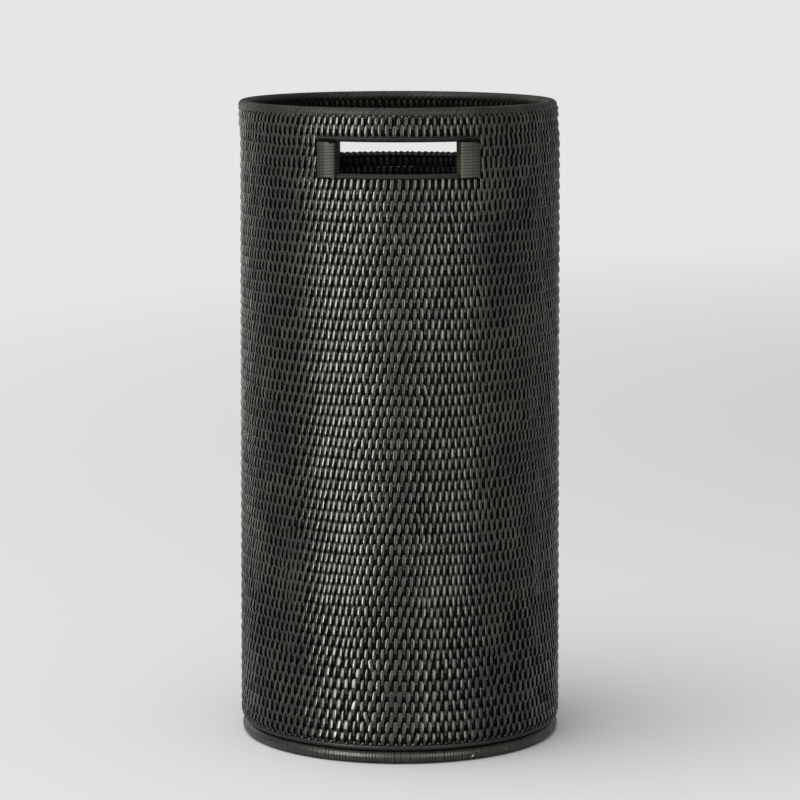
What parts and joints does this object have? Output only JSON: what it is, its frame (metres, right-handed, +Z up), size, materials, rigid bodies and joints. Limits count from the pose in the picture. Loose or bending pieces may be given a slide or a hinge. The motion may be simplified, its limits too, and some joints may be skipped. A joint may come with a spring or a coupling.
{
  "type": "umbrella stand",
  "caption": "Tall round umbrella stand of coiled black rattan, with a hand hole at front and back, a wound foot ring and a lift-out drip tray.",
  "frame": {"origin": "middle of the foot ring, on the ground", "axes": "+Z up the stand, -Y towards the front hand hole, +X to the right as seen from the front"},
  "size_m": [0.2574, 0.2576, 0.508],
  "materials": {
    "rattan_peel": "black-stained rattan peel, satin",
    "rattan_core": "black-stained rattan core, dull satin",
    "brad_steel": "blackened steel nail heads",
    "tray_enamel": "black enamel, semi-matt"
  },
  "bodies": {
    "stand": {"foot_ring_winding": "rattan_peel", "floor_stitching_top": "rattan_peel", "floor_stitching_under": "rattan_peel", "wall_stitching_outer": "rattan_peel", "wall_stitching_inner": "rattan_peel", "side_stitching_right_outer": "rattan_peel", "side_stitching_right_inner": "rattan_peel", "side_stitching_left_outer": "rattan_peel", "side_stitching_left_inner": "rattan_peel", "front_left_post_winding": "rattan_peel", "front_right_post_winding": "rattan_peel", "back_left_post_winding": "rattan_peel", "back_right_post_winding": "rattan_peel", "top_stitching_outer": "rattan_peel", "top_stitching_inner": "rattan_peel", "rim_lashing": "rattan_peel", "foot_ring_core": "rattan_core", "base_coil": "rattan_core", "floor_coil": "rattan_core", "wall_coil_01": "rattan_core", "wall_coil_02": "rattan_core", "wall_coil_03": "rattan_core", "wall_coil_04": "rattan_core", "wall_coil_05": "rattan_core", "wall_coil_06": "rattan_core", "wall_coil_07": "rattan_core", "wall_coil_08": "rattan_core", "wall_coil_09": "rattan_core", "wall_coil_10": "rattan_core", "wall_coil_11": "rattan_core", "side_coil_right": "rattan_core", "side_coil_left": "rattan_core", "front_left_post_core": "rattan_core", "front_right_post_core": "rattan_core", "back_left_post_core": "rattan_core", "back_right_post_core": "rattan_core", "front_top_sill": "rattan_core", "front_bottom_sill": "rattan_core", "back_top_sill": "rattan_core", "back_bottom_sill": "rattan_core", "top_coil": "rattan_core", "rim_core": "rattan_core", "foot_ring_brads": "brad_steel"},
    "tray": {"drip_tray": "tray_enamel"}
  },
  "joints": [
    {"name": "tray_lift", "type": "slide", "parent": "stand", "child": "tray", "axis": [0, 0, 1], "range_m": [0, 0.52]}
  ]
}
